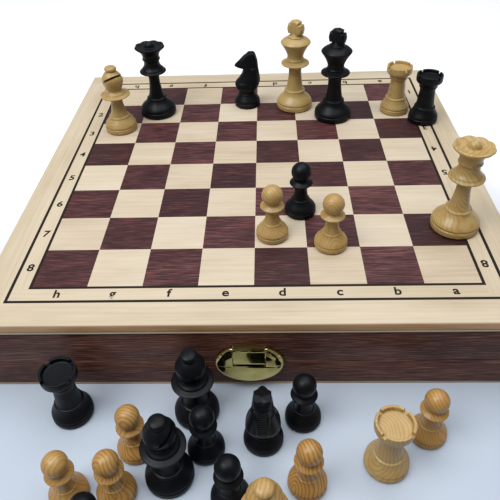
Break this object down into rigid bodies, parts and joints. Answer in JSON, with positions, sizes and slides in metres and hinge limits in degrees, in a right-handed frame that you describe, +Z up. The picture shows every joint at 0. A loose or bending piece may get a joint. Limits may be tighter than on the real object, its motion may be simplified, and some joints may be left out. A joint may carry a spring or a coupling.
{
  "type": "chess set with board",
  "caption": "Chess casket whose hinged lid is the inlaid board, closed by an oval brass clasp, with two full sets of turned Staunton men.",
  "frame": {"origin": "on the table, under the centre of the closed box", "axes": "+X to the right along the front of the box, +Y from the clasp towards the hinges, +Z up"},
  "size_m": [0.394, 0.5662, 0.1573],
  "materials": {
    "maple_veneer": "satin lacquered light maple veneer",
    "mahogany_veneer": "satin lacquered dark mahogany",
    "birch_plywood": "plain birch plywood",
    "polished_brass": "polished brass",
    "boxwood_lacquered": "lacquered boxwood",
    "black_lacquer": "satin black lacquer"
  },
  "bodies": {
    "case_base": {"bottom_panel": "birch_plywood", "base_rail_back": "mahogany_veneer", "base_rail_front": "mahogany_veneer", "base_rail_left": "mahogany_veneer", "base_rail_right": "mahogany_veneer", "hinge_left_base_leaf": "polished_brass", "hinge_right_base_leaf": "polished_brass", "hinge_left_pin": "polished_brass", "hinge_right_pin": "polished_brass", "clasp_base_plate": "polished_brass", "hinge_screw_5": "polished_brass", "hinge_screw_6": "polished_brass", "hinge_screw_7": "polished_brass", "hinge_screw_8": "polished_brass"},
    "lid": {"board_panel": "maple_veneer", "lid_rail_back": "mahogany_veneer", "lid_rail_front": "mahogany_veneer", "lid_rail_left": "mahogany_veneer", "lid_rail_right": "mahogany_veneer", "hinge_left_lid_leaf": "polished_brass", "hinge_right_lid_leaf": "polished_brass", "clasp_lid_plate": "polished_brass", "clasp_pin": "polished_brass", "hinge_screw_1": "polished_brass", "hinge_screw_2": "polished_brass", "hinge_screw_3": "polished_brass", "hinge_screw_4": "polished_brass"},
    "flap": {"clasp_flap": "polished_brass"},
    "black_bishop_1": {"black_bishop_1": "black_lacquer"},
    "black_bishop_2": {"black_bishop_2": "black_lacquer"},
    "black_king": {"black_king": "black_lacquer"},
    "black_knight_1": {"black_knight_1": "black_lacquer"},
    "black_knight_2": {"black_knight_2": "black_lacquer"},
    "black_pawn_1": {"black_pawn_1": "black_lacquer"},
    "black_pawn_2": {"black_pawn_2": "black_lacquer"},
    "black_pawn_3": {"black_pawn_3": "black_lacquer"},
    "black_pawn_4": {"black_pawn_4": "black_lacquer"},
    "black_pawn_5": {"black_pawn_5": "black_lacquer"},
    "black_pawn_6": {"black_pawn_6": "black_lacquer"},
    "black_pawn_7": {"black_pawn_7": "black_lacquer"},
    "black_pawn_8": {"black_pawn_8": "black_lacquer"},
    "black_queen": {"black_queen": "black_lacquer"},
    "black_rook_1": {"black_rook_1": "black_lacquer"},
    "black_rook_2": {"black_rook_2": "black_lacquer"},
    "white_bishop_1": {"white_bishop_1": "boxwood_lacquered"},
    "white_bishop_2": {"white_bishop_2": "boxwood_lacquered"},
    "white_king": {"white_king": "boxwood_lacquered"},
    "white_knight_1": {"white_knight_1": "boxwood_lacquered"},
    "white_knight_2": {"white_knight_2": "boxwood_lacquered"},
    "white_pawn_1": {"white_pawn_1": "boxwood_lacquered"},
    "white_pawn_2": {"white_pawn_2": "boxwood_lacquered"},
    "white_pawn_3": {"white_pawn_3": "boxwood_lacquered"},
    "white_pawn_4": {"white_pawn_4": "boxwood_lacquered"},
    "white_pawn_5": {"white_pawn_5": "boxwood_lacquered"},
    "white_pawn_6": {"white_pawn_6": "boxwood_lacquered"},
    "white_pawn_7": {"white_pawn_7": "boxwood_lacquered"},
    "white_pawn_8": {"white_pawn_8": "boxwood_lacquered"},
    "white_queen": {"white_queen": "boxwood_lacquered"},
    "white_rook_1": {"white_rook_1": "boxwood_lacquered"},
    "white_rook_2": {"white_rook_2": "boxwood_lacquered"}
  },
  "joints": [
    {"name": "lid_hinge", "type": "hinge", "parent": "case_base", "child": "lid", "pos_m": [0, 0.1985, 0.0268], "axis": [-1, 0, 0], "range_deg": [0, 100]},
    {"name": "clasp_flap_hinge", "type": "hinge", "parent": "lid", "child": "flap", "pos_m": [-0.0038, -0.2006, 0.0452], "axis": [-1, 0, 0], "range_deg": [0, 120]},
    {"name": "lift_black_bishop_1", "type": "slide", "parent": "case_base", "child": "black_bishop_1", "axis": [0, 0, 1], "range_m": [0, 0.1]},
    {"name": "lift_black_bishop_2", "type": "slide", "parent": "case_base", "child": "black_bishop_2", "axis": [0, 0, 1], "range_m": [0, 0.1]},
    {"name": "lift_black_king", "type": "slide", "parent": "lid", "child": "black_king", "axis": [0, 0, 1], "range_m": [0, 0.1]},
    {"name": "lift_black_knight_1", "type": "slide", "parent": "lid", "child": "black_knight_1", "axis": [0, 0, 1], "range_m": [0, 0.1]},
    {"name": "lift_black_knight_2", "type": "slide", "parent": "case_base", "child": "black_knight_2", "axis": [0, 0, 1], "range_m": [0, 0.1]},
    {"name": "lift_black_pawn_1", "type": "slide", "parent": "lid", "child": "black_pawn_1", "axis": [0, 0, 1], "range_m": [0, 0.1]},
    {"name": "lift_black_pawn_2", "type": "slide", "parent": "case_base", "child": "black_pawn_2", "axis": [0, 0, 1], "range_m": [0, 0.1]},
    {"name": "lift_black_pawn_3", "type": "slide", "parent": "case_base", "child": "black_pawn_3", "axis": [0, 0, 1], "range_m": [0, 0.1]},
    {"name": "lift_black_pawn_4", "type": "slide", "parent": "case_base", "child": "black_pawn_4", "axis": [0, 0, 1], "range_m": [0, 0.1]},
    {"name": "lift_black_pawn_5", "type": "slide", "parent": "case_base", "child": "black_pawn_5", "axis": [0, 0, 1], "range_m": [0, 0.1]},
    {"name": "lift_black_pawn_6", "type": "slide", "parent": "case_base", "child": "black_pawn_6", "axis": [0, 0, 1], "range_m": [0, 0.1]},
    {"name": "lift_black_pawn_7", "type": "slide", "parent": "case_base", "child": "black_pawn_7", "axis": [0, 0, 1], "range_m": [0, 0.1]},
    {"name": "lift_black_pawn_8", "type": "slide", "parent": "case_base", "child": "black_pawn_8", "axis": [0, 0, 1], "range_m": [0, 0.1]},
    {"name": "lift_black_queen", "type": "slide", "parent": "lid", "child": "black_queen", "axis": [0, 0, 1], "range_m": [0, 0.1]},
    {"name": "lift_black_rook_1", "type": "slide", "parent": "lid", "child": "black_rook_1", "axis": [0, 0, 1], "range_m": [0, 0.1]},
    {"name": "lift_black_rook_2", "type": "slide", "parent": "case_base", "child": "black_rook_2", "axis": [0, 0, 1], "range_m": [0, 0.1]},
    {"name": "lift_white_bishop_1", "type": "slide", "parent": "lid", "child": "white_bishop_1", "axis": [0, 0, 1], "range_m": [0, 0.1]},
    {"name": "lift_white_bishop_2", "type": "slide", "parent": "case_base", "child": "white_bishop_2", "axis": [0, 0, 1], "range_m": [0, 0.1]},
    {"name": "lift_white_king", "type": "slide", "parent": "lid", "child": "white_king", "axis": [0, 0, 1], "range_m": [0, 0.1]},
    {"name": "lift_white_knight_1", "type": "slide", "parent": "case_base", "child": "white_knight_1", "axis": [0, 0, 1], "range_m": [0, 0.1]},
    {"name": "lift_white_knight_2", "type": "slide", "parent": "case_base", "child": "white_knight_2", "axis": [0, 0, 1], "range_m": [0, 0.1]},
    {"name": "lift_white_pawn_1", "type": "slide", "parent": "lid", "child": "white_pawn_1", "axis": [0, 0, 1], "range_m": [0, 0.1]},
    {"name": "lift_white_pawn_2", "type": "slide", "parent": "lid", "child": "white_pawn_2", "axis": [0, 0, 1], "range_m": [0, 0.1]},
    {"name": "lift_white_pawn_3", "type": "slide", "parent": "case_base", "child": "white_pawn_3", "axis": [0, 0, 1], "range_m": [0, 0.1]},
    {"name": "lift_white_pawn_4", "type": "slide", "parent": "case_base", "child": "white_pawn_4", "axis": [0, 0, 1], "range_m": [0, 0.1]},
    {"name": "lift_white_pawn_5", "type": "slide", "parent": "case_base", "child": "white_pawn_5", "axis": [0, 0, 1], "range_m": [0, 0.1]},
    {"name": "lift_white_pawn_6", "type": "slide", "parent": "case_base", "child": "white_pawn_6", "axis": [0, 0, 1], "range_m": [0, 0.1]},
    {"name": "lift_white_pawn_7", "type": "slide", "parent": "case_base", "child": "white_pawn_7", "axis": [0, 0, 1], "range_m": [0, 0.1]},
    {"name": "lift_white_pawn_8", "type": "slide", "parent": "case_base", "child": "white_pawn_8", "axis": [0, 0, 1], "range_m": [0, 0.1]},
    {"name": "lift_white_queen", "type": "slide", "parent": "lid", "child": "white_queen", "axis": [0, 0, 1], "range_m": [0, 0.1]},
    {"name": "lift_white_rook_1", "type": "slide", "parent": "lid", "child": "white_rook_1", "axis": [0, 0, 1], "range_m": [0, 0.1]},
    {"name": "lift_white_rook_2", "type": "slide", "parent": "case_base", "child": "white_rook_2", "axis": [0, 0, 1], "range_m": [0, 0.1]}
  ]
}
